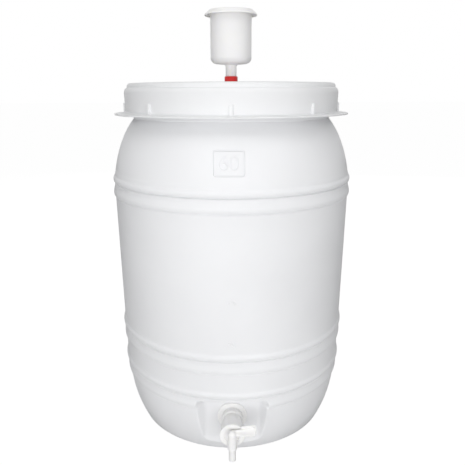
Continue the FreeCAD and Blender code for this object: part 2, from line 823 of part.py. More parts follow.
# ---- tap plug --------------------------------------------------------------------------
def lever_blade_outline(margin):
    """Lever blade seen from its face: u runs out from the plug, v across; margin insets all edges."""
    root = lever_root_width / 2 - margin
    tip = lever_tip_width / 2 - margin
    start = margin * 4
    end = lever_reach - margin
    round_off = lever_tip_round - margin / 2
    diagonal = round_off * (1 - math.sqrt(0.5))
    low_root = VECTOR(start, -root, 0)
    low_tip = VECTOR(end - round_off, -tip, 0)
    end_low = VECTOR(end, -tip + round_off, 0)
    end_high = VECTOR(end, tip - round_off, 0)
    high_tip = VECTOR(end - round_off, tip, 0)
    high_root = VECTOR(start, root, 0)
    return Part.Wire([
        line(low_root, low_tip),
        Part.Arc(low_tip, VECTOR(end - diagonal, -tip + diagonal, 0), end_low).toShape(),
        line(end_low, end_high),
        Part.Arc(end_high, VECTOR(end - diagonal, tip - diagonal, 0), high_tip).toShape(),
        line(high_tip, high_root),
        line(high_root, low_root),
    ])


def make_lever():
    """Blade with a shallow panel and an upstanding lip along its rear edge and round its end."""
    blade = Part.Face(lever_blade_outline(0)).extrude(VECTOR(0, 0, -lever_thickness))
    panel = Part.Face(lever_blade_outline(lever_panel_margin)).extrude(VECTOR(0, 0, -lever_panel_depth))
    lip_rise = VECTOR(0, 0, lever_thickness + lever_lip_height)
    lip_outside = Part.Face(lever_blade_outline(-lever_lip_width)).extrude(lip_rise)
    lip_inside = Part.Face(lever_blade_outline(0)).extrude(lip_rise)
    lip = lip_outside.cut(lip_inside)
    lip.translate(VECTOR(0, 0, -lever_thickness))
    reach = 2 * lever_reach
    end_stop = lever_tip_width / 2 - lever_lip_end_share * lever_tip_width
    window = Part.makeBox(reach, reach, reach, VECTOR(lever_lip_start, end_stop, -reach / 2))
    return blade.cut(panel).fuse(lip.common(window))


def make_plug():
    seam = sleeve_top
    head_top = seam + plug_head_height
    spout_bottom = sleeve_bottom - spout_length
    shaft = upright_cylinder(plug_radius, sleeve_bottom, seam, y=-plug_axis)
    spout = upright_cylinder(spout_radius, spout_bottom, sleeve_bottom, y=-plug_axis)
    spout = spout.makeChamfer(spout_chamfer, circles_at(spout, spout_radius, z=spout_bottom))
    bead_top = sleeve_bottom - plug_bead_gap
    bead = upright_cylinder(plug_bead_radius, bead_top - plug_bead_height, bead_top, y=-plug_axis)
    bead = bead.makeChamfer(plug_bead_chamfer, circle_edges(bead, plug_bead_radius))
    head = upright_cylinder(plug_head_radius, seam, head_top, y=-plug_axis)
    dome = Part.makeSphere(plug_head_radius, VECTOR(0, -plug_axis, head_top), UP, 0, 90, 360)
    lever = make_lever()
    lever.rotate(VECTOR(0, 0, 0), VECTOR(1, 0, 0), lever_tilt)
    lever.rotate(VECTOR(0, 0, 0), VECTOR(0, 1, 0), -lever_rise)
    lever.translate(VECTOR(0, -plug_axis, seam + lever_above_seam))
    plug = shaft.fuse([spout, bead, head, dome, lever])
    bore_top = port_height + port_radius + spout_bore_past_port
    axial_bore = upright_cylinder(spout_bore_radius, spout_bottom - 1, bore_top, y=-plug_axis)
    port_centre = VECTOR(0, -plug_axis, port_height)
    side_port = Part.makeCylinder(port_radius, 2 * plug_radius, port_centre, VECTOR(-1, 0, 0))
    return plug.cut(axial_bore).cut(side_port)


# ---- build -----------------------------------------------------------------------------
os.makedirs("parts", exist_ok=True)
for section_node, section in barrel_sections():
    export(section, section_node)
export(make_lid(), "lid")
export(make_gasket(), "lid_gasket")
export(make_grommet(), "airlock_grommet")
export(make_cup(), "airlock_cup")
export(make_bell(), "airlock_bell")
export(make_cap(), "airlock_cap")
export(make_outer_washer(), "tap_outer_washer")
export(make_inner_washer(), "tap_inner_washer")
export(make_nut(), "tap_nut")
export(make_tap_body(), "tap_body")
export(make_plug(), "tap_plug")
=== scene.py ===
import bisect
import math
import bpy
from mathutils import Matrix, Vector


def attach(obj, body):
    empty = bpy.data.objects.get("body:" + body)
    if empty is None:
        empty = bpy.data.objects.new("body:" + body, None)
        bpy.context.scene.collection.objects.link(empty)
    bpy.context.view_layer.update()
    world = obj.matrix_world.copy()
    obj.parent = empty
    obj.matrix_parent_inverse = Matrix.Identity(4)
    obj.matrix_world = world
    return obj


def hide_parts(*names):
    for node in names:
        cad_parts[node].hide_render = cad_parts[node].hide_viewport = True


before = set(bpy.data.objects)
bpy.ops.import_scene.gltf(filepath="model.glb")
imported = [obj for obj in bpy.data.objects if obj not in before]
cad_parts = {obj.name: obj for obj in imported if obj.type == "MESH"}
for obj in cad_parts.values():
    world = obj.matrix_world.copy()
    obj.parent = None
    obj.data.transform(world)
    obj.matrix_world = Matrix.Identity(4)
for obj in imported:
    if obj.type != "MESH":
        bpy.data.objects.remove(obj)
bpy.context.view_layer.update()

# Looks of the wide-neck fermentation barrel: smooth blow-moulded shell with its tap pocket, screw lid,
# cup airlock and drain tap, on a white studio floor. Sizes are in millimetres, turned to metres by MM.

MM = 0.001
UPRIGHT = (0, 0, 1)
TINY = 0.001                                   # keeps a division away from zero

# ---- barrel ----------------------------------------------------------------------------
WALL = 3.5
RING_GROOVES = (107.7, 172.3, 424.1)
HEEL = (167.4, 2.2)
BASE_FLAT_RADIUS = 163.5
HUB_RADIUS = 60.0
CHANNEL_RADIUS = 135.0
CHANNEL_DEPTH = 2.5
CHANNEL_SIDE = 4.0
BOWL_TOP_RADIUS = 188.9
LOW_WALL_RADIUS = 192.3
MID_WALL_RADII = (193.9, 197.8)
SHOULDER_FOOT = (197.2, 435.1)
SHOULDER_BEND = (183.0, 489.0)
SHOULDER_LEAN = 7.8                            # degrees from the vertical where the shoulder starts
NECK_RADIUS = 162.0
NECK_ROOT = 524.6
NECK_RIM = 573.0
NECK_RIM_ROUND = 2.0                           # the rim's rounding ends less than this far below it
BOWL_BULGE = 4.3
BAND_EDGE = -22.3                              # heights of a ring pair, from its groove
RING_TOP = 11.0
CAVITY_NARROWING = 0.5                         # of the inner skin over the height of the lowest ring pair
CAVITY_ROWS = (125.0, 118.7, 115.0, 111.0, 107.0, 103.0, 99.0, 95.0, 90.0)
TURN_STEPS = 288
SHELL_SHARP = 30                               # edges that turn more than these degrees look sharp
BARREL_SHARP = 35

# ---- tap pocket ------------------------------------------------------------------------
POCKET_PANEL = 168.0
POCKET_HALF_WIDTH = 43.0
POCKET_BOTTOM = 22.0
POCKET_TOP = 95.5
POCKET_SIDE_DRAFT = 1.0
POCKET_BOTTOM_DRAFT = 0.95
POCKET_TOP_DRAFT = 0.18
POCKET_EDGE_ROUND = 2.0
POCKET_FLOOR_ROUND = 3.5
POCKET_CORNER = 8.0
POCKET_CORNER_GROWTH = 0.14
POCKET_REACH = 42.0
POCKET_HALVINGS = 14
FINE_HALF_WIDTH = 72.0                         # the shell's mesh is made finer round the pocket
FINE_HEIGHTS = (3.0, 119.0)
FINE_FRONT = -120.0
PRESS_HALF_WIDTH = 80.0                        # no place outside these three is pressed
PRESS_TOP = 125.0
PRESS_FRONT = -100.0
TAP_HEIGHT = 63.7
TAP_HOLE_RADIUS = 13.5
TAP_HOLE_LENGTH = 30.0

# ---- thread of neck and lid ------------------------------------------------------------
THREAD_PITCH = 12.0
THREAD_TURNS = 1.25
THREAD_START = 545.0
THREAD_DROP = 4.0
THREAD_SINK = 0.6
THREAD_STEPS = 180
NECK_THREAD_DEPTH = 6.0
LID_THREAD_DEPTH = 8.1
THREAD_HALF_HEIGHTS = (2.6, 1.4)

# ---- lid -------------------------------------------------------------------------------
LID_RIM = 579.5
LID_SKIN = 2.5
LID_PANEL = 573.5
LID_BORE = 172.6
LID_FOOT_RADIUS = 175.0
LID_FLANGE_RADIUS = 192.6
LID_FLANGE_ROOT = 534.4
LID_FLANGE_TIP = 532.7
LID_FLANGE_THICKNESS = 2.2
LID_SHOULDER = (175.9, 567.0)
LID_SHOULDER_SLOPE = (2.2, 4.3)
LID_BAND_RADIUS = 171.0
LID_BAND_FOOT = 572.6
LID_RIM_SLOPE = (2.9, 3.4)
LID_BORE_DROP = 0.6                            # from the shoulder's height to the top of the bore
LID_STEP_DROP = 1.3                            # from the band's foot to the step inside it
LID_WELL_RADIUS = 152.0
LID_WELL_DRAFT = 1.3
BEAD_RADIUS = 95.0
BEAD_HALF_WIDTHS = (4.0, 1.5)                  # at its foot and at its top
BEAD_HEIGHT = 1.2
BOSS_RADIUS = 22.0
BOSS_DRAFT = 1.5
GROMMET_HOLE_RADIUS = 8.7
LID_SHARP = 40
LID_RIB_ANGLES = (-127.5, -85.0, -42.5, 0.0, 42.5, 85.0, 127.5, 180.0)
LID_RIB_WIDTH = 6.2
LID_RIB_HEIGHT = 14.6
LID_RIB_OUT = 2.6
LID_RIB_SINK = 1.5
LID_RIB_ROUND = 1.1
LID_SKIRT_LEAN = 0.9                           # the skirt stands this far further out at its shoulder

# ---- sunk marks ------------------------------------------------------------------------
BADGE_CENTRE = (-3.1, 470.8)
BADGE_SIZE = (44.0, 36.0)
BADGE_LINE = 2.3
BADGE_CORNER = 4.0
BADGE_DIGIT_HEIGHT = 20.0
FAINT_DIGIT_HEIGHT = 12.5
FAINT_MARK_SIDE = 0.3
FAINT_MARK_HEIGHTS = (201.7, 268.0)
DIGIT_SHARE = 0.7                              # height of a digit as a share of its font's size
MARK_CLEAR = 1.5                               # how far a mark's cutter stands out of the skin
MARK_DEPTH = 2.4
FAINT_MARK_DEPTH = 1.2
MARK_GRAIN = 0.4

# ---- smaller pieces --------------------------------------------------------------------
SMALL_BEVEL_ABOVE = 34                         # edges that turn more than these degrees are rounded
SMALL_SHARP = 38

# ---- moulded plastic -------------------------------------------------------------------
PATCH_EDGES = (0.35, 0.65)                     # levels of the noise between which the tone changes
GLOSS_SPREAD = (-0.04, 0.05)
GRAIN_STRENGTH = 0.25
SCATTER_DEPTH = 3.0
SCATTER_TINT = (1, 1, 0.85)

# ---- studio ----------------------------------------------------------------------------
AMBIENT = 0.20
PAINTED_FOOT_SHADE = 0.5                               # the floor's colour beside the barrel's foot, darkened as painted shade for a contact shadow, so the floor sends less light up there
PAPER_FAR = 0.82
PAINTED_SHADE_RADIUS = 0.24                      # in metres, like the places below; out to here the floor's colour carries the painted shade
FLOOR_WIDTH = 60
FLOOR_HEIGHT = -0.0004
FLOOR_GLOW = 0.97
FLOOR_TONE = 0.10                              # what the lamps add to the floor's white, so a shadow shows
LENS = 40.61
SENSOR_WIDTH = 36
CAMERA_PLACE = (0.0014, -0.907, 0.5655)
CAMERA_PITCH = 14.99
CAMERA_ROLL = -0.2


# ---- outlines --------------------------------------------------------------------------
def softened(corners, steps=5):
    """Points of an outline: each corner (radius, height, length) is rounded over that length of its sides."""
    almost_half = 0.49
    points = []
    for index, corner in enumerate(corners):
        here = Vector(corner[:2])
        reach = corner[2] if len(corner) > 2 else 0
        if not reach:
            points.append(here)
            continue
        before = Vector(corners[index - 1][:2]) - here
        after = Vector(corners[index + 1][:2]) - here
        start = here + before.normalized() * min(reach, before.length * almost_half)
        end = here + after.normalized() * min(reach, after.length * almost_half)
        for step in range(steps + 1):
            share = step / steps
            points.append(start * (1 - share) ** 2 + here * 2 * share * (1 - share) + end * share ** 2)
    return points


def curved(start, end, bulge, steps):
    """Points of the arc from start to end that stands out of its chord by bulge, to the right."""
    start = Vector(start)
    along = Vector(end) - start
    side = Vector((along.y, -along.x)).normalized()
    radius = (along.length ** 2 / 4 + bulge ** 2) / (2 * bulge)
    points = []
    for step in range(steps + 1):
        share = step / steps
        rise = math.sqrt(radius ** 2 - ((share - 0.5) * along.length) ** 2) - radius + bulge
        points.append(start + along * share + side * rise)
    return points


def leaning_curve(start, end, lean, steps):
    """The arc that leaves start at this angle from the vertical, and the angle at which it ends."""
    chord = math.degrees(math.atan2(start[0] - end[0], end[1] - start[1]))
    length = (Vector(end) - Vector(start)).length
    bulge = math.tan(math.radians(chord - lean) / 2) * length / 2
    return curved(start, end, bulge, steps), 2 * chord - lean


def ring_pair(groove, radius_below, radius_above):
    """Outline of a pair of rings, upwards: sharp lower edge, round band, cove, dark groove, round ring."""
    def beside(height, out):
        share = (height - BAND_EDGE) / (RING_TOP - BAND_EDGE)
        return (radius_below + (radius_above - radius_below) * share + out, groove + height)

    return softened([
        beside(BAND_EDGE - 4.0, 0.0),
        beside(BAND_EDGE - 3.0, 0.0) + (1.2,),
        beside(BAND_EDGE, -2.0) + (0.4,),
        beside(-22.1, 2.3) + (0.8,),
        beside(-17.0, 3.3) + (3.4,),
        beside(-8.0, 0.9) + (5.0,),
        beside(-2.6, 0.9) + (1.0,),
        beside(-0.4, -2.0) + (0.4,),
        beside(0.1, 2.3) + (0.7,),
        beside(4.2, 3.3) + (2.6,),
        beside(7.6, 2.2) + (2.2,),
        beside(10.2, 0.1) + (1.6,),
        beside(RING_TOP + 3.0, 0.0),
    ])


def shell_outline():
    """Outer skin of the barrel, from the middle of its base to the inner edge of its rim."""
    low, middle, top = RING_GROOVES
    points = softened([
        (0, 0),
        (HUB_RADIUS, 0, 2),
        (HUB_RADIUS + CHANNEL_SIDE, CHANNEL_DEPTH, 2),
        (CHANNEL_RADIUS - CHANNEL_SIDE, CHANNEL_DEPTH, 2),
        (CHANNEL_RADIUS, 0, 2),
        (BASE_FLAT_RADIUS, 0, 3),
        HEEL,
    ])
    points += curved(HEEL, (BOWL_TOP_RADIUS, low + BAND_EDGE), BOWL_BULGE, steps=26)[1:-2]
    points += ring_pair(low, BOWL_TOP_RADIUS, LOW_WALL_RADIUS)
    points += ring_pair(middle, LOW_WALL_RADIUS, MID_WALL_RADII[0])
    points += ring_pair(top, MID_WALL_RADII[1], SHOULDER_FOOT[0])
    lower, lean = leaning_curve(SHOULDER_FOOT, SHOULDER_BEND, SHOULDER_LEAN, steps=12)
    upper = leaning_curve(SHOULDER_BEND, (NECK_RADIUS, NECK_ROOT), lean, steps=10)[0]
    points += lower[1:] + upper[1:-1]
    bore = NECK_RADIUS - WALL
    points += softened([
        (NECK_RADIUS, NECK_ROOT),
        (NECK_RADIUS, NECK_RIM, 1.4),
        (bore, NECK_RIM, 1.2),
        (bore, NECK_ROOT),
    ])
    return points[:-1]


def cavity_line():
    """Inner skin of the barrel, from below its neck down to the middle of its floor."""
    low, middle, top = RING_GROOVES
    bore = NECK_RADIUS - WALL
    floor = CHANNEL_DEPTH + WALL
    lower, lean = leaning_curve(
        (SHOULDER_FOOT[0] - WALL, SHOULDER_FOOT[1]),
        (SHOULDER_BEND[0] - WALL, SHOULDER_BEND[1] - WALL / 2), SHOULDER_LEAN, steps=8)
    upper = leaning_curve(lower[-1], (bore, NECK_ROOT - WALL), lean, steps=6)[0]
    bowl_top = (BOWL_TOP_RADIUS - WALL, low + BAND_EDGE)
    bowl = curved((BASE_FLAT_RADIUS - WALL, floor), bowl_top, BOWL_BULGE, steps=22)
    down = upper[::-1] + lower[-2::-1]
    down += [
        Vector((MID_WALL_RADII[1] - WALL, top + BAND_EDGE)),
        Vector((MID_WALL_RADII[0] - WALL, middle + RING_TOP)),
        Vector((LOW_WALL_RADIUS - WALL, middle + BAND_EDGE)),
    ]
    for height in CAVITY_ROWS:
        share = (low + RING_TOP - height) / (RING_TOP - BAND_EDGE)
        down.append(Vector((LOW_WALL_RADIUS - WALL - CAVITY_NARROWING * share, height)))
    return down + bowl[::-1] + [Vector((0, floor))]


OUTER_SKIN = [corner for corner in shell_outline() if HEEL[1] <= corner.y < NECK_RIM - NECK_RIM_ROUND]


def outer_radius_at(height):
    """Radius of the barrel's outer skin at this height."""
    above = bisect.bisect(OUTER_SKIN, height, key=lambda corner: corner.y)
    low, high = OUTER_SKIN[above - 1], OUTER_SKIN[min(above, len(OUTER_SKIN) - 1)]
    share = (height - low.y) / max(high.y - low.y, TINY)
    return low.x + (high.x - low.x) * min(share, 1)


# ---- modelling helpers -----------------------------------------------------------------
def drawn_line(name, corners):
    """A line through these places, drawn by extruding one vertex, left open in edit mode."""
    bpy.ops.object.select_all(action="DESELECT")
    bpy.ops.mesh.primitive_plane_add(size=MM)
    piece = bpy.context.object
    piece.name = name
    piece.data.name = name
    bpy.ops.object.mode_set(mode="EDIT")
    bpy.ops.mesh.select_mode(type="VERT")
    bpy.ops.mesh.select_all(action="SELECT")
    bpy.ops.mesh.merge(type="CENTER")
    bpy.ops.transform.translate(value=(corners[0][0] * MM, 0, corners[0][1] * MM))
    for here, there in zip(corners, corners[1:]):
        move = ((there[0] - here[0]) * MM, 0, (there[1] - here[1]) * MM)
        bpy.ops.mesh.extrude_region_move(TRANSFORM_OT_translate={"value": move})
    bpy.ops.mesh.select_all(action="SELECT")
    return piece


def close_up(merge_distance):
    """Merges the mesh's doubled places, turns its faces outwards and leaves edit mode."""
    bpy.ops.mesh.select_all(action="SELECT")
    bpy.ops.mesh.remove_doubles(threshold=merge_distance * MM)
    bpy.ops.mesh.normals_make_consistent(inside=False)
    bpy.ops.object.mode_set(mode="OBJECT")


def turned(name, outline, sharp):
    """A piece turned about the upright axis from its outline."""
    piece = drawn_line(name, outline)
    bpy.ops.mesh.spin(steps=TURN_STEPS, angle=math.tau, center=(0, 0, 0), axis=UPRIGHT)
    close_up(merge_distance=0.02)
    bpy.ops.object.shade_smooth_by_angle(angle=math.radians(sharp))
    return piece


def only(piece):
    """Selects this piece alone and makes it the active one."""
    bpy.ops.object.select_all(action="DESELECT")
    piece.select_set(True)
    bpy.context.view_layer.objects.active = piece


def apply_modifier(piece, kind, **settings):
    only(piece)
    modifier = piece.modifiers.new(kind.lower(), kind)
    for setting, value in settings.items():
        setattr(modifier, setting, value)
    bpy.ops.object.modifier_apply(modifier=modifier.name)


def join(piece, *others):
    """Joins the others into the piece, which stays selected."""
    only(piece)
    for other in others:
        other.select_set(True)
    bpy.ops.object.join()


def cut_away(piece, cutter):
    apply_modifier(piece, "BOOLEAN", operation="DIFFERENCE", object=cutter, solver="EXACT")
    bpy.data.objects.remove(cutter)


def select_faces(piece, wanted):
    """Selects the faces whose centre, in millimetres, answers the test."""
    bpy.ops.object.mode_set(mode="EDIT")
    bpy.ops.mesh.select_mode(type="FACE")
    bpy.ops.mesh.select_all(action="DESELECT")
    bpy.ops.object.mode_set(mode="OBJECT")
    for face in piece.data.polygons:
        face.select = wanted(face.center / MM)
    bpy.ops.object.mode_set(mode="EDIT")


def thread(name, root, crest, start):
    """One helical ridge of trapezoid section, its ends closed."""
    outward = 1 if crest > root else -1
    sunk = root - outward * THREAD_SINK
    foot, tip = THREAD_HALF_HEIGHTS
    piece = drawn_line(name, [
        (sunk, start - foot),
        (crest, start - tip),
        (crest, start + tip),
        (sunk, start + foot),
    ])
    bpy.ops.mesh.edge_face_add()
    bpy.ops.object.mode_set(mode="OBJECT")
    apply_modifier(piece, "SCREW", angle=math.tau * THREAD_TURNS,
                   screw_offset=THREAD_PITCH * THREAD_TURNS * MM,
                   steps=THREAD_STEPS, render_steps=THREAD_STEPS)
    bpy.ops.object.mode_set(mode="EDIT")
    close_up(merge_distance=0.01)
    return piece


# ---- barrel ----------------------------------------------------------------------------
def soft_max(first, second, softness):
    """The larger of two values, rising gently where they come within softness of each other."""
    overlap = max(softness - abs(first - second), 0) / softness
    return max(first, second) + overlap ** 2 * softness / 4


def soft_min(first, second, softness):
    return -soft_max(-first, -second, softness)


def pocket_corner_at(x, z, forward):
    """How far a place is past the corner centres of the pocket's outline, this far in front of the panel."""
    corner = POCKET_CORNER + forward * POCKET_CORNER_GROWTH
    half_width = POCKET_HALF_WIDTH + forward * POCKET_SIDE_DRAFT
    bottom = POCKET_BOTTOM - forward * POCKET_BOTTOM_DRAFT
    top = POCKET_TOP + forward * POCKET_TOP_DRAFT
    past_side = max(abs(x) - half_width + corner, 0)
    past_end = max(abs(z - (top + bottom) / 2) - (top - bottom) / 2 + corner, 0)
    return past_side, past_end, corner


def pocket_at(x, z):
    """Distance of the pocket's surface in front of the barrel's axis, and how softly its edge turns there."""
    near, far = -POCKET_FLOOR_ROUND, POCKET_REACH
    for halving in range(POCKET_HALVINGS):
        forward = (near + far) / 2
        past_side, past_end, corner = pocket_corner_at(x, z, forward)
        if math.hypot(past_side, past_end) < corner:
            far = forward
        else:
            near = forward
    end_draft = POCKET_TOP_DRAFT if z > (POCKET_TOP + POCKET_BOTTOM) / 2 else POCKET_BOTTOM_DRAFT
    end_share = past_end / max(past_side + past_end, TINY)
    draft = POCKET_SIDE_DRAFT + (end_draft - POCKET_SIDE_DRAFT) * end_share
    return POCKET_PANEL + soft_max(far, 0, POCKET_FLOOR_ROUND), POCKET_EDGE_ROUND / draft


def press_pocket(piece):
    """Presses the flat tap pocket into the front of the shell, outer and inner skin alike."""
    def near_pocket(place):
        lowest, highest = FINE_HEIGHTS
        return place.y < FINE_FRONT and abs(place.x) < FINE_HALF_WIDTH and lowest < place.z < highest

    select_faces(piece, near_pocket)
    bpy.ops.mesh.subdivide(number_cuts=2)
    bpy.ops.object.mode_set(mode="OBJECT")
    for vertex in piece.data.vertices:
        x, y, z = vertex.co / MM
        if y > PRESS_FRONT or abs(x) > PRESS_HALF_WIDTH or z > PRESS_TOP:
            continue
        inner = math.hypot(x, y) < outer_radius_at(z) - WALL / 2
        skin = WALL if inner else 0
        depth, softness = pocket_at(x, z)
        vertex.co.y = -soft_min(-y, depth - skin, softness) * MM


def drill_tap_hole(piece):
    bpy.ops.object.select_all(action="DESELECT")
    bpy.ops.mesh.primitive_cylinder_add(
        vertices=64, radius=TAP_HOLE_RADIUS * MM, depth=TAP_HOLE_LENGTH * MM,
        location=(0, -POCKET_PANEL * MM, TAP_HEIGHT * MM), rotation=(math.pi / 2, 0, 0))
    cut_away(piece, bpy.context.object)


def lay_on_shell(piece):
    """Wraps a flat mark, drawn in x and z with its face towards -y, onto the barrel's outer skin."""
    for vertex in piece.data.vertices:
        x, y, z = vertex.co / MM
        radius = outer_radius_at(z)
        turn = x / radius
        vertex.co = Vector((math.sin(turn), -math.cos(turn), 0)) * (radius - y) * MM + Vector((0, 0, z * MM))


def mark_place(centre, depth):
    """Moves a mark's cutter to its centre, so that it reaches this deep into the skin."""
    return Matrix.Translation((centre[0] * MM, (depth - MARK_CLEAR) / 2 * MM, centre[1] * MM))


def number_cutter(name, text, height, centre, depth, quarter_turns=0):
    """The cutter of plain digits, flat in x and z, on both sides of y = 0."""
    bpy.ops.object.select_all(action="DESELECT")
    bpy.ops.object.text_add()
    mark = bpy.context.object
    mark.name = name
    mark.data.body = text
    mark.data.align_x = "CENTER"
    mark.data.align_y = "CENTER"
    mark.data.size = height * MM / DIGIT_SHARE
    mark.data.extrude = (MARK_CLEAR + depth) / 2 * MM
    bpy.ops.object.convert(target="MESH")
    stand = Matrix.Rotation(math.pi / 2, 4, "X")
    spin = Matrix.Rotation(-quarter_turns * math.pi / 2, 4, "Y")
    mark.data.transform(mark_place(centre, depth) @ spin @ stand)
    return mark


def frame_cutter():
    """The cutter of the line round the capacity number, with round corners."""
    bpy.ops.object.select_all(action="DESELECT")
    bpy.ops.mesh.primitive_plane_add(size=1, rotation=(math.pi / 2, 0, 0))
    badge = bpy.context.object
    badge.name = "badge_frame"
    bpy.ops.object.transform_apply(rotation=True)
    badge.data.transform(Matrix.Diagonal((BADGE_SIZE[0] * MM, 1, BADGE_SIZE[1] * MM, 1)))
    bpy.ops.object.mode_set(mode="EDIT")
    bpy.ops.mesh.select_all(action="SELECT")
    bpy.ops.mesh.bevel(offset=BADGE_CORNER * MM, segments=6, affect="VERTICES")
    bpy.ops.mesh.select_all(action="SELECT")
    bpy.ops.mesh.inset(thickness=BADGE_LINE * MM)
    bpy.ops.mesh.delete(type="FACE")
    bpy.ops.mesh.select_all(action="SELECT")
    bpy.ops.mesh.normals_make_consistent(inside=False)
    bpy.ops.object.mode_set(mode="OBJECT")
    apply_modifier(badge, "SOLIDIFY", thickness=(MARK_CLEAR + MARK_DEPTH) * MM, offset=0)
    badge.data.transform(mark_place(BADGE_CENTRE, MARK_DEPTH))
    return badge


def marks_cutter():
    """Cutter of the framed plain capacity number and of two plain numbers lying on their side."""
    lower, upper = [(FAINT_MARK_SIDE, height) for height in FAINT_MARK_HEIGHTS]
    badge = frame_cutter()
    numbers = [
        number_cutter("badge_number", "60", BADGE_DIGIT_HEIGHT, BADGE_CENTRE, MARK_DEPTH),
        number_cutter("lower_number", "2", FAINT_DIGIT_HEIGHT, lower, FAINT_MARK_DEPTH, quarter_turns=1),
        number_cutter("upper_number", "3", FAINT_DIGIT_HEIGHT, upper, FAINT_MARK_DEPTH, quarter_turns=1),
    ]
    join(badge, *numbers)
    apply_modifier(badge, "REMESH", mode="VOXEL", voxel_size=MARK_GRAIN * MM)
    apply_modifier(badge, "SMOOTH", factor=0.5, iterations=1)
    lay_on_shell(badge)
    return badge


def make_barrel():
    barrel = turned("barrel_shell", shell_outline() + cavity_line(), SHELL_SHARP)
    press_pocket(barrel)
    drill_tap_hole(barrel)
    cut_away(barrel, marks_cutter())
    join(barrel, thread("neck_thread", NECK_RADIUS, NECK_RADIUS + NECK_THREAD_DEPTH, THREAD_START))
    bpy.ops.object.shade_smooth_by_angle(angle=math.radians(BARREL_SHARP))
    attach(barrel, "barrel_body")
    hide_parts("barrel_base", "barrel_bowl", "barrel_wall", "barrel_crown", "barrel_neck")
    return barrel


# ---- lid -------------------------------------------------------------------------------
def lid_outline():
    """Closed outline of the lid, from the boss's hole outwards over the top and back inside."""
    rim_underside = LID_RIM - LID_SKIN
    panel_underside = LID_PANEL - LID_SKIN
    bead_foot, bead_top = BEAD_HALF_WIDTHS
    return softened([
        (GROMMET_HOLE_RADIUS, rim_underside),
        (GROMMET_HOLE_RADIUS, LID_RIM, 0.5),
        (BOSS_RADIUS - BOSS_DRAFT, LID_RIM, 1.4),
        (BOSS_RADIUS, LID_PANEL, 2.0),
        (BEAD_RADIUS - bead_foot, LID_PANEL, 1.5),
        (BEAD_RADIUS - bead_top, LID_PANEL + BEAD_HEIGHT, 1.5),
        (BEAD_RADIUS + bead_top, LID_PANEL + BEAD_HEIGHT, 1.5),
        (BEAD_RADIUS + bead_foot, LID_PANEL, 1.5),
        (LID_WELL_RADIUS, LID_PANEL, 2.2),
        (LID_WELL_RADIUS + LID_WELL_DRAFT, LID_RIM, 1.5),
        (LID_BAND_RADIUS - LID_RIM_SLOPE[0], LID_RIM, 2.2),
        (LID_BAND_RADIUS, LID_RIM - LID_RIM_SLOPE[1], 2.0),
        (LID_BAND_RADIUS, LID_BAND_FOOT, 0.3),
        (LID_SHOULDER[0] - LID_SHOULDER_SLOPE[0], LID_SHOULDER[1] + LID_SHOULDER_SLOPE[1], 1.4),
        (LID_SHOULDER[0], LID_SHOULDER[1], 3.0),
        (LID_FOOT_RADIUS, LID_FLANGE_ROOT, 1.6),
        (LID_FLANGE_RADIUS, LID_FLANGE_TIP, 0.9),
        (LID_FLANGE_RADIUS, LID_FLANGE_TIP - LID_FLANGE_THICKNESS, 0.9),
        (LID_BORE, LID_FLANGE_ROOT - LID_FLANGE_THICKNESS, 0.8),
        (LID_BORE, LID_SHOULDER[1] - LID_BORE_DROP, 1.5),
        (LID_BAND_RADIUS - LID_SKIN, LID_BAND_FOOT - LID_STEP_DROP, 1.0),
        (LID_BAND_RADIUS - LID_SKIN, rim_underside - LID_SKIN, 0.8),
        (LID_BAND_RADIUS - 2 * LID_SKIN, rim_underside, 0.8),
        (LID_WELL_RADIUS + LID_SKIN, rim_underside, 0.8),
        (LID_WELL_RADIUS + LID_SKIN, panel_underside, 1.2),
        (BOSS_RADIUS - LID_SKIN, panel_underside, 1.5),
        (BOSS_RADIUS - BOSS_DRAFT - LID_SKIN, rim_underside, 1.0),
        (GROMMET_HOLE_RADIUS, rim_underside),
    ])


def grip_rib(angle):
    """One upright rib on the lid's skirt, its edges rounded, its foot and back sunk into the lid."""
    bpy.ops.object.select_all(action="DESELECT")
    bpy.ops.mesh.primitive_cube_add(size=1)
    rib = bpy.context.object
    depth = LID_RIB_OUT + LID_RIB_SINK
    height = LID_RIB_HEIGHT + LID_RIB_SINK
    out = LID_FOOT_RADIUS + LID_RIB_OUT + LID_SKIRT_LEAN - depth / 2
    up = LID_FLANGE_ROOT - LID_RIB_SINK + height / 2
    rib.data.transform(Matrix.Diagonal((LID_RIB_WIDTH * MM, depth * MM, height * MM, 1)))
    rib.data.transform(Matrix.Translation((0, -out * MM, up * MM)))
    bpy.ops.object.mode_set(mode="EDIT")
    bpy.ops.mesh.select_all(action="SELECT")
    bpy.ops.mesh.bevel(offset=LID_RIB_ROUND * MM, segments=4, affect="EDGES")
    bpy.ops.object.mode_set(mode="OBJECT")
    rib.data.transform(Matrix.Rotation(math.radians(angle), 4, "Z"))
    return rib


def make_lid():
    lid = turned("lid_shell", lid_outline(), LID_SHARP)
    ribs = [grip_rib(angle) for angle in LID_RIB_ANGLES]
    ridge = thread("lid_thread", LID_BORE, LID_BORE - LID_THREAD_DEPTH, THREAD_START - THREAD_DROP)
    join(lid, ridge, *ribs)
    bpy.ops.object.shade_smooth_by_angle(angle=math.radians(LID_SHARP))
    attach(lid, "lid")
    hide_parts("lid")
    return lid


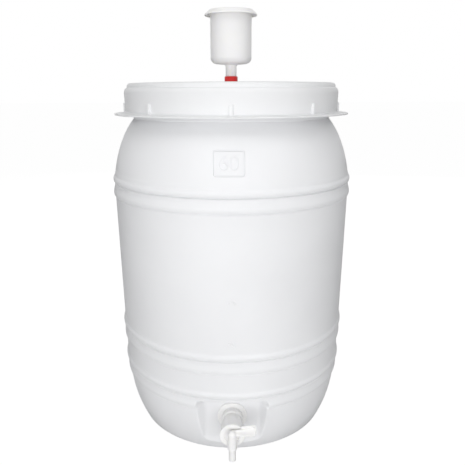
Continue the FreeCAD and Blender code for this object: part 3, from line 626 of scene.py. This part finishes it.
# ---- smaller pieces --------------------------------------------------------------------
def rounded_copy(name, node, body, width):
    """A copy of a small CAD piece with its edges rounded over this width."""
    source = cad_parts[node]
    copy = source.copy()
    copy.data = source.data.copy()
    copy.name = name
    copy.data.name = name
    bpy.context.collection.objects.link(copy)
    only(copy)
    bpy.ops.object.mode_set(mode="EDIT")
    bpy.ops.mesh.select_all(action="SELECT")
    bpy.ops.mesh.remove_doubles(threshold=0.002 * MM)
    bpy.ops.mesh.customdata_custom_splitnormals_clear()
    bpy.ops.object.mode_set(mode="OBJECT")
    apply_modifier(copy, "BEVEL", width=width * MM, segments=3, limit_method="ANGLE",
                   angle_limit=math.radians(SMALL_BEVEL_ABOVE))
    bpy.ops.object.shade_smooth_by_angle(angle=math.radians(SMALL_SHARP))
    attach(copy, body)
    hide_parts(node)
    return copy


# ---- materials -------------------------------------------------------------------------
def added(tree, kind, **values):
    """A new shader node of this kind; a value's name is its input's, with _ for a blank."""
    node = tree.nodes.new("ShaderNode" + kind)
    for entry, value in values.items():
        node.inputs[entry.replace("_", " ")].default_value = value
    return node


def link(tree, source, output, target, entry):
    tree.links.new(source.outputs[output], target.inputs[entry])


def moulded_plastic(name, dark, light, roughness, grain, grain_height, patches, scatter=0.0):
    """Moulded plastic: faint patches of tone, uneven gloss and a fine moulded grain."""
    material = bpy.data.materials.new(name)
    material.use_nodes = True
    tree = material.node_tree
    shader = tree.nodes["Principled BSDF"]
    place = added(tree, "TexCoord")
    tone = added(tree, "TexNoise", Scale=patches, Detail=4)
    link(tree, place, "Object", tone, "Vector")
    colour = added(tree, "ValToRGB")
    for stop, position, shade in zip(colour.color_ramp.elements, PATCH_EDGES, (dark, light)):
        stop.position = position
        stop.color = (*shade, 1)
    link(tree, tone, "Fac", colour, "Fac")
    link(tree, colour, "Color", shader, "Base Color")
    gloss = added(tree, "MapRange", To_Min=roughness + GLOSS_SPREAD[0], To_Max=roughness + GLOSS_SPREAD[1])
    link(tree, tone, "Fac", gloss, "Value")
    link(tree, gloss, "Result", shader, "Roughness")
    skin = added(tree, "TexNoise", Scale=grain, Detail=3)
    link(tree, place, "Object", skin, "Vector")
    bump = added(tree, "Bump", Strength=GRAIN_STRENGTH, Distance=grain_height * MM)
    link(tree, skin, "Fac", bump, "Height")
    link(tree, bump, "Normal", shader, "Normal")
    shader.inputs["Subsurface Weight"].default_value = scatter
    shader.inputs["Subsurface Radius"].default_value = SCATTER_TINT
    shader.inputs["Subsurface Scale"].default_value = SCATTER_DEPTH * MM
    return material


def dress(material, *pieces):
    for piece in pieces:
        piece.data.materials.clear()
        piece.data.materials.append(material)


# ---- studio ----------------------------------------------------------------------------
def seen_as_white():
    """World that shows white behind the object and in its gloss, and lights it softly."""
    world = bpy.data.worlds.new("studio")
    bpy.context.scene.world = world
    world.use_nodes = True
    tree = world.node_tree
    ways = added(tree, "LightPath")
    direct = added(tree, "Math")
    direct.operation = "MAXIMUM"
    link(tree, ways, "Is Camera Ray", direct, 0)
    link(tree, ways, "Is Glossy Ray", direct, 1)
    shown = added(tree, "Math")
    shown.operation = "MAXIMUM"
    link(tree, direct, "Value", shown, 0)
    link(tree, ways, "Is Transmission Ray", shown, 1)
    strength = added(tree, "MapRange", To_Min=AMBIENT, To_Max=1.0)
    link(tree, shown, "Value", strength, "Value")
    background = tree.nodes["Background"]
    background.inputs["Color"].default_value = (1, 1, 1, 1)
    link(tree, strength, "Result", background, "Strength")


def studio_floor():
    """White floor that keeps a faint shadow; close round the barrel its colour is darkened as painted shade,
    so it sends less light up there.
    """
    bpy.ops.object.select_all(action="DESELECT")
    bpy.ops.mesh.primitive_plane_add(size=FLOOR_WIDTH, location=(0, 0, FLOOR_HEIGHT))
    floor = bpy.context.object
    floor.name = "studio_floor"
    material = bpy.data.materials.new("studio_paper")
    material.use_nodes = True
    tree = material.node_tree
    tree.nodes.remove(tree.nodes["Principled BSDF"])
    paper = added(tree, "BsdfDiffuse")
    place = added(tree, "TexCoord")
    distance = added(tree, "VectorMath")
    distance.operation = "LENGTH"
    link(tree, place, "Object", distance, 0)
    # painted shade: the paper's colour is darker close round the barrel's foot, standing in for a contact
    # shadow
    painted_shade = added(tree, "MapRange", From_Min=BASE_FLAT_RADIUS * MM, From_Max=PAINTED_SHADE_RADIUS,
                       To_Min=PAINTED_FOOT_SHADE, To_Max=PAPER_FAR)
    link(tree, distance, "Value", painted_shade, "Value")
    link(tree, painted_shade, "Result", paper, "Color")
    faint = added(tree, "BsdfDiffuse", Color=(FLOOR_TONE, FLOOR_TONE, FLOOR_TONE, 1))
    glow = added(tree, "Emission", Strength=FLOOR_GLOW)
    shown = added(tree, "AddShader")
    link(tree, faint, "BSDF", shown, 0)
    link(tree, glow, "Emission", shown, 1)
    ways = added(tree, "LightPath")
    choice = added(tree, "MixShader")
    link(tree, ways, "Is Camera Ray", choice, 0)
    link(tree, paper, "BSDF", choice, 1)
    link(tree, shown, "Shader", choice, 2)
    link(tree, choice, "Shader", tree.nodes["Material Output"], "Surface")
    dress(material, floor)


def softbox(name, place, target, size, watts, soft_only=False):
    """A rectangular lamp aimed at the target; soft_only keeps it out of the plastic's gloss."""
    light = bpy.data.lights.new(name, "AREA")
    light.shape = "RECTANGLE"
    light.size, light.size_y = size
    light.energy = watts
    lamp = bpy.data.objects.new(name, light)
    bpy.context.collection.objects.link(lamp)
    lamp.location = place
    lamp.visible_glossy = not soft_only
    lamp.rotation_euler = (Vector(target) - Vector(place)).to_track_quat("-Z", "Y").to_euler()


def studio_camera():
    camera = bpy.data.cameras.new("photo_camera")
    camera.lens = LENS
    camera.sensor_width = SENSOR_WIDTH
    eye = bpy.data.objects.new("photo_camera", camera)
    bpy.context.collection.objects.link(eye)
    pitch = Matrix.Rotation(math.radians(90 - CAMERA_PITCH), 4, "X")
    roll = Matrix.Rotation(math.radians(CAMERA_ROLL), 4, "Z")
    eye.matrix_world = Matrix.Translation(CAMERA_PLACE) @ (pitch @ roll)
    bpy.context.scene.camera = eye


# ---- the object ------------------------------------------------------------------------
barrel_white = moulded_plastic(
    "barrel_white", (0.86, 0.865, 0.88), (0.89, 0.895, 0.91),
    roughness=0.42, grain=700, grain_height=0.05, patches=6)
lid_white = moulded_plastic(
    "lid_white", (0.82, 0.825, 0.835), (0.85, 0.855, 0.865),
    roughness=0.45, grain=900, grain_height=0.04, patches=8)
airlock_white = moulded_plastic(
    "airlock_white", (0.93, 0.92, 0.905), (0.96, 0.95, 0.94),
    roughness=0.30, grain=1500, grain_height=0.02, patches=20, scatter=0.5)
tap_white = moulded_plastic(
    "tap_white", (0.95, 0.945, 0.935), (0.97, 0.965, 0.96),
    roughness=0.32, grain=1200, grain_height=0.02, patches=30, scatter=0.2)
washer_white = moulded_plastic(
    "washer_white", (0.94, 0.935, 0.925), (0.96, 0.955, 0.95),
    roughness=0.45, grain=1000, grain_height=0.04, patches=40)
gasket_white = moulded_plastic(
    "gasket_white", (0.76, 0.76, 0.74), (0.82, 0.82, 0.80),
    roughness=0.6, grain=900, grain_height=0.05, patches=40)
grommet_red = moulded_plastic(
    "grommet_red", (0.62, 0.012, 0.012), (0.74, 0.03, 0.025),
    roughness=0.42, grain=900, grain_height=0.05, patches=60)

dress(barrel_white, make_barrel())
dress(lid_white, make_lid())
dress(airlock_white,
      rounded_copy("airlock_cup_body", "airlock_cup", "airlock", width=0.35),
      rounded_copy("airlock_bell_body", "airlock_bell", "bell", width=0.3),
      rounded_copy("airlock_cap_body", "airlock_cap", "cap", width=0.3))
dress(grommet_red, rounded_copy("airlock_bush", "airlock_grommet", "lid", width=0.4))
dress(tap_white,
      rounded_copy("tap_housing", "tap_body", "barrel_body", width=0.15),
      rounded_copy("tap_lever", "tap_plug", "plug", width=0.15))
dress(washer_white,
      rounded_copy("tap_washer", "tap_outer_washer", "barrel_body", width=0.4),
      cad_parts["tap_inner_washer"],
      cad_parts["tap_nut"])
dress(gasket_white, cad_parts["lid_gasket"])

seen_as_white()
studio_floor()
softbox("front_softbox", (-0.1, -2.4, 0.4), target=(0, 0, 0.2), size=(3.0, 1.4), watts=46.5, soft_only=True)
softbox("top_softbox", (0.0, -0.6, 1.6), target=(0, 0, 0.1), size=(1.6, 1.0), watts=7)
softbox("back_softbox", (0.3, 2.6, 0.9), target=(0, 0, 0.3), size=(2.4, 1.6), watts=16, soft_only=True)
studio_camera()

bpy.context.scene.view_settings.view_transform = "Standard"
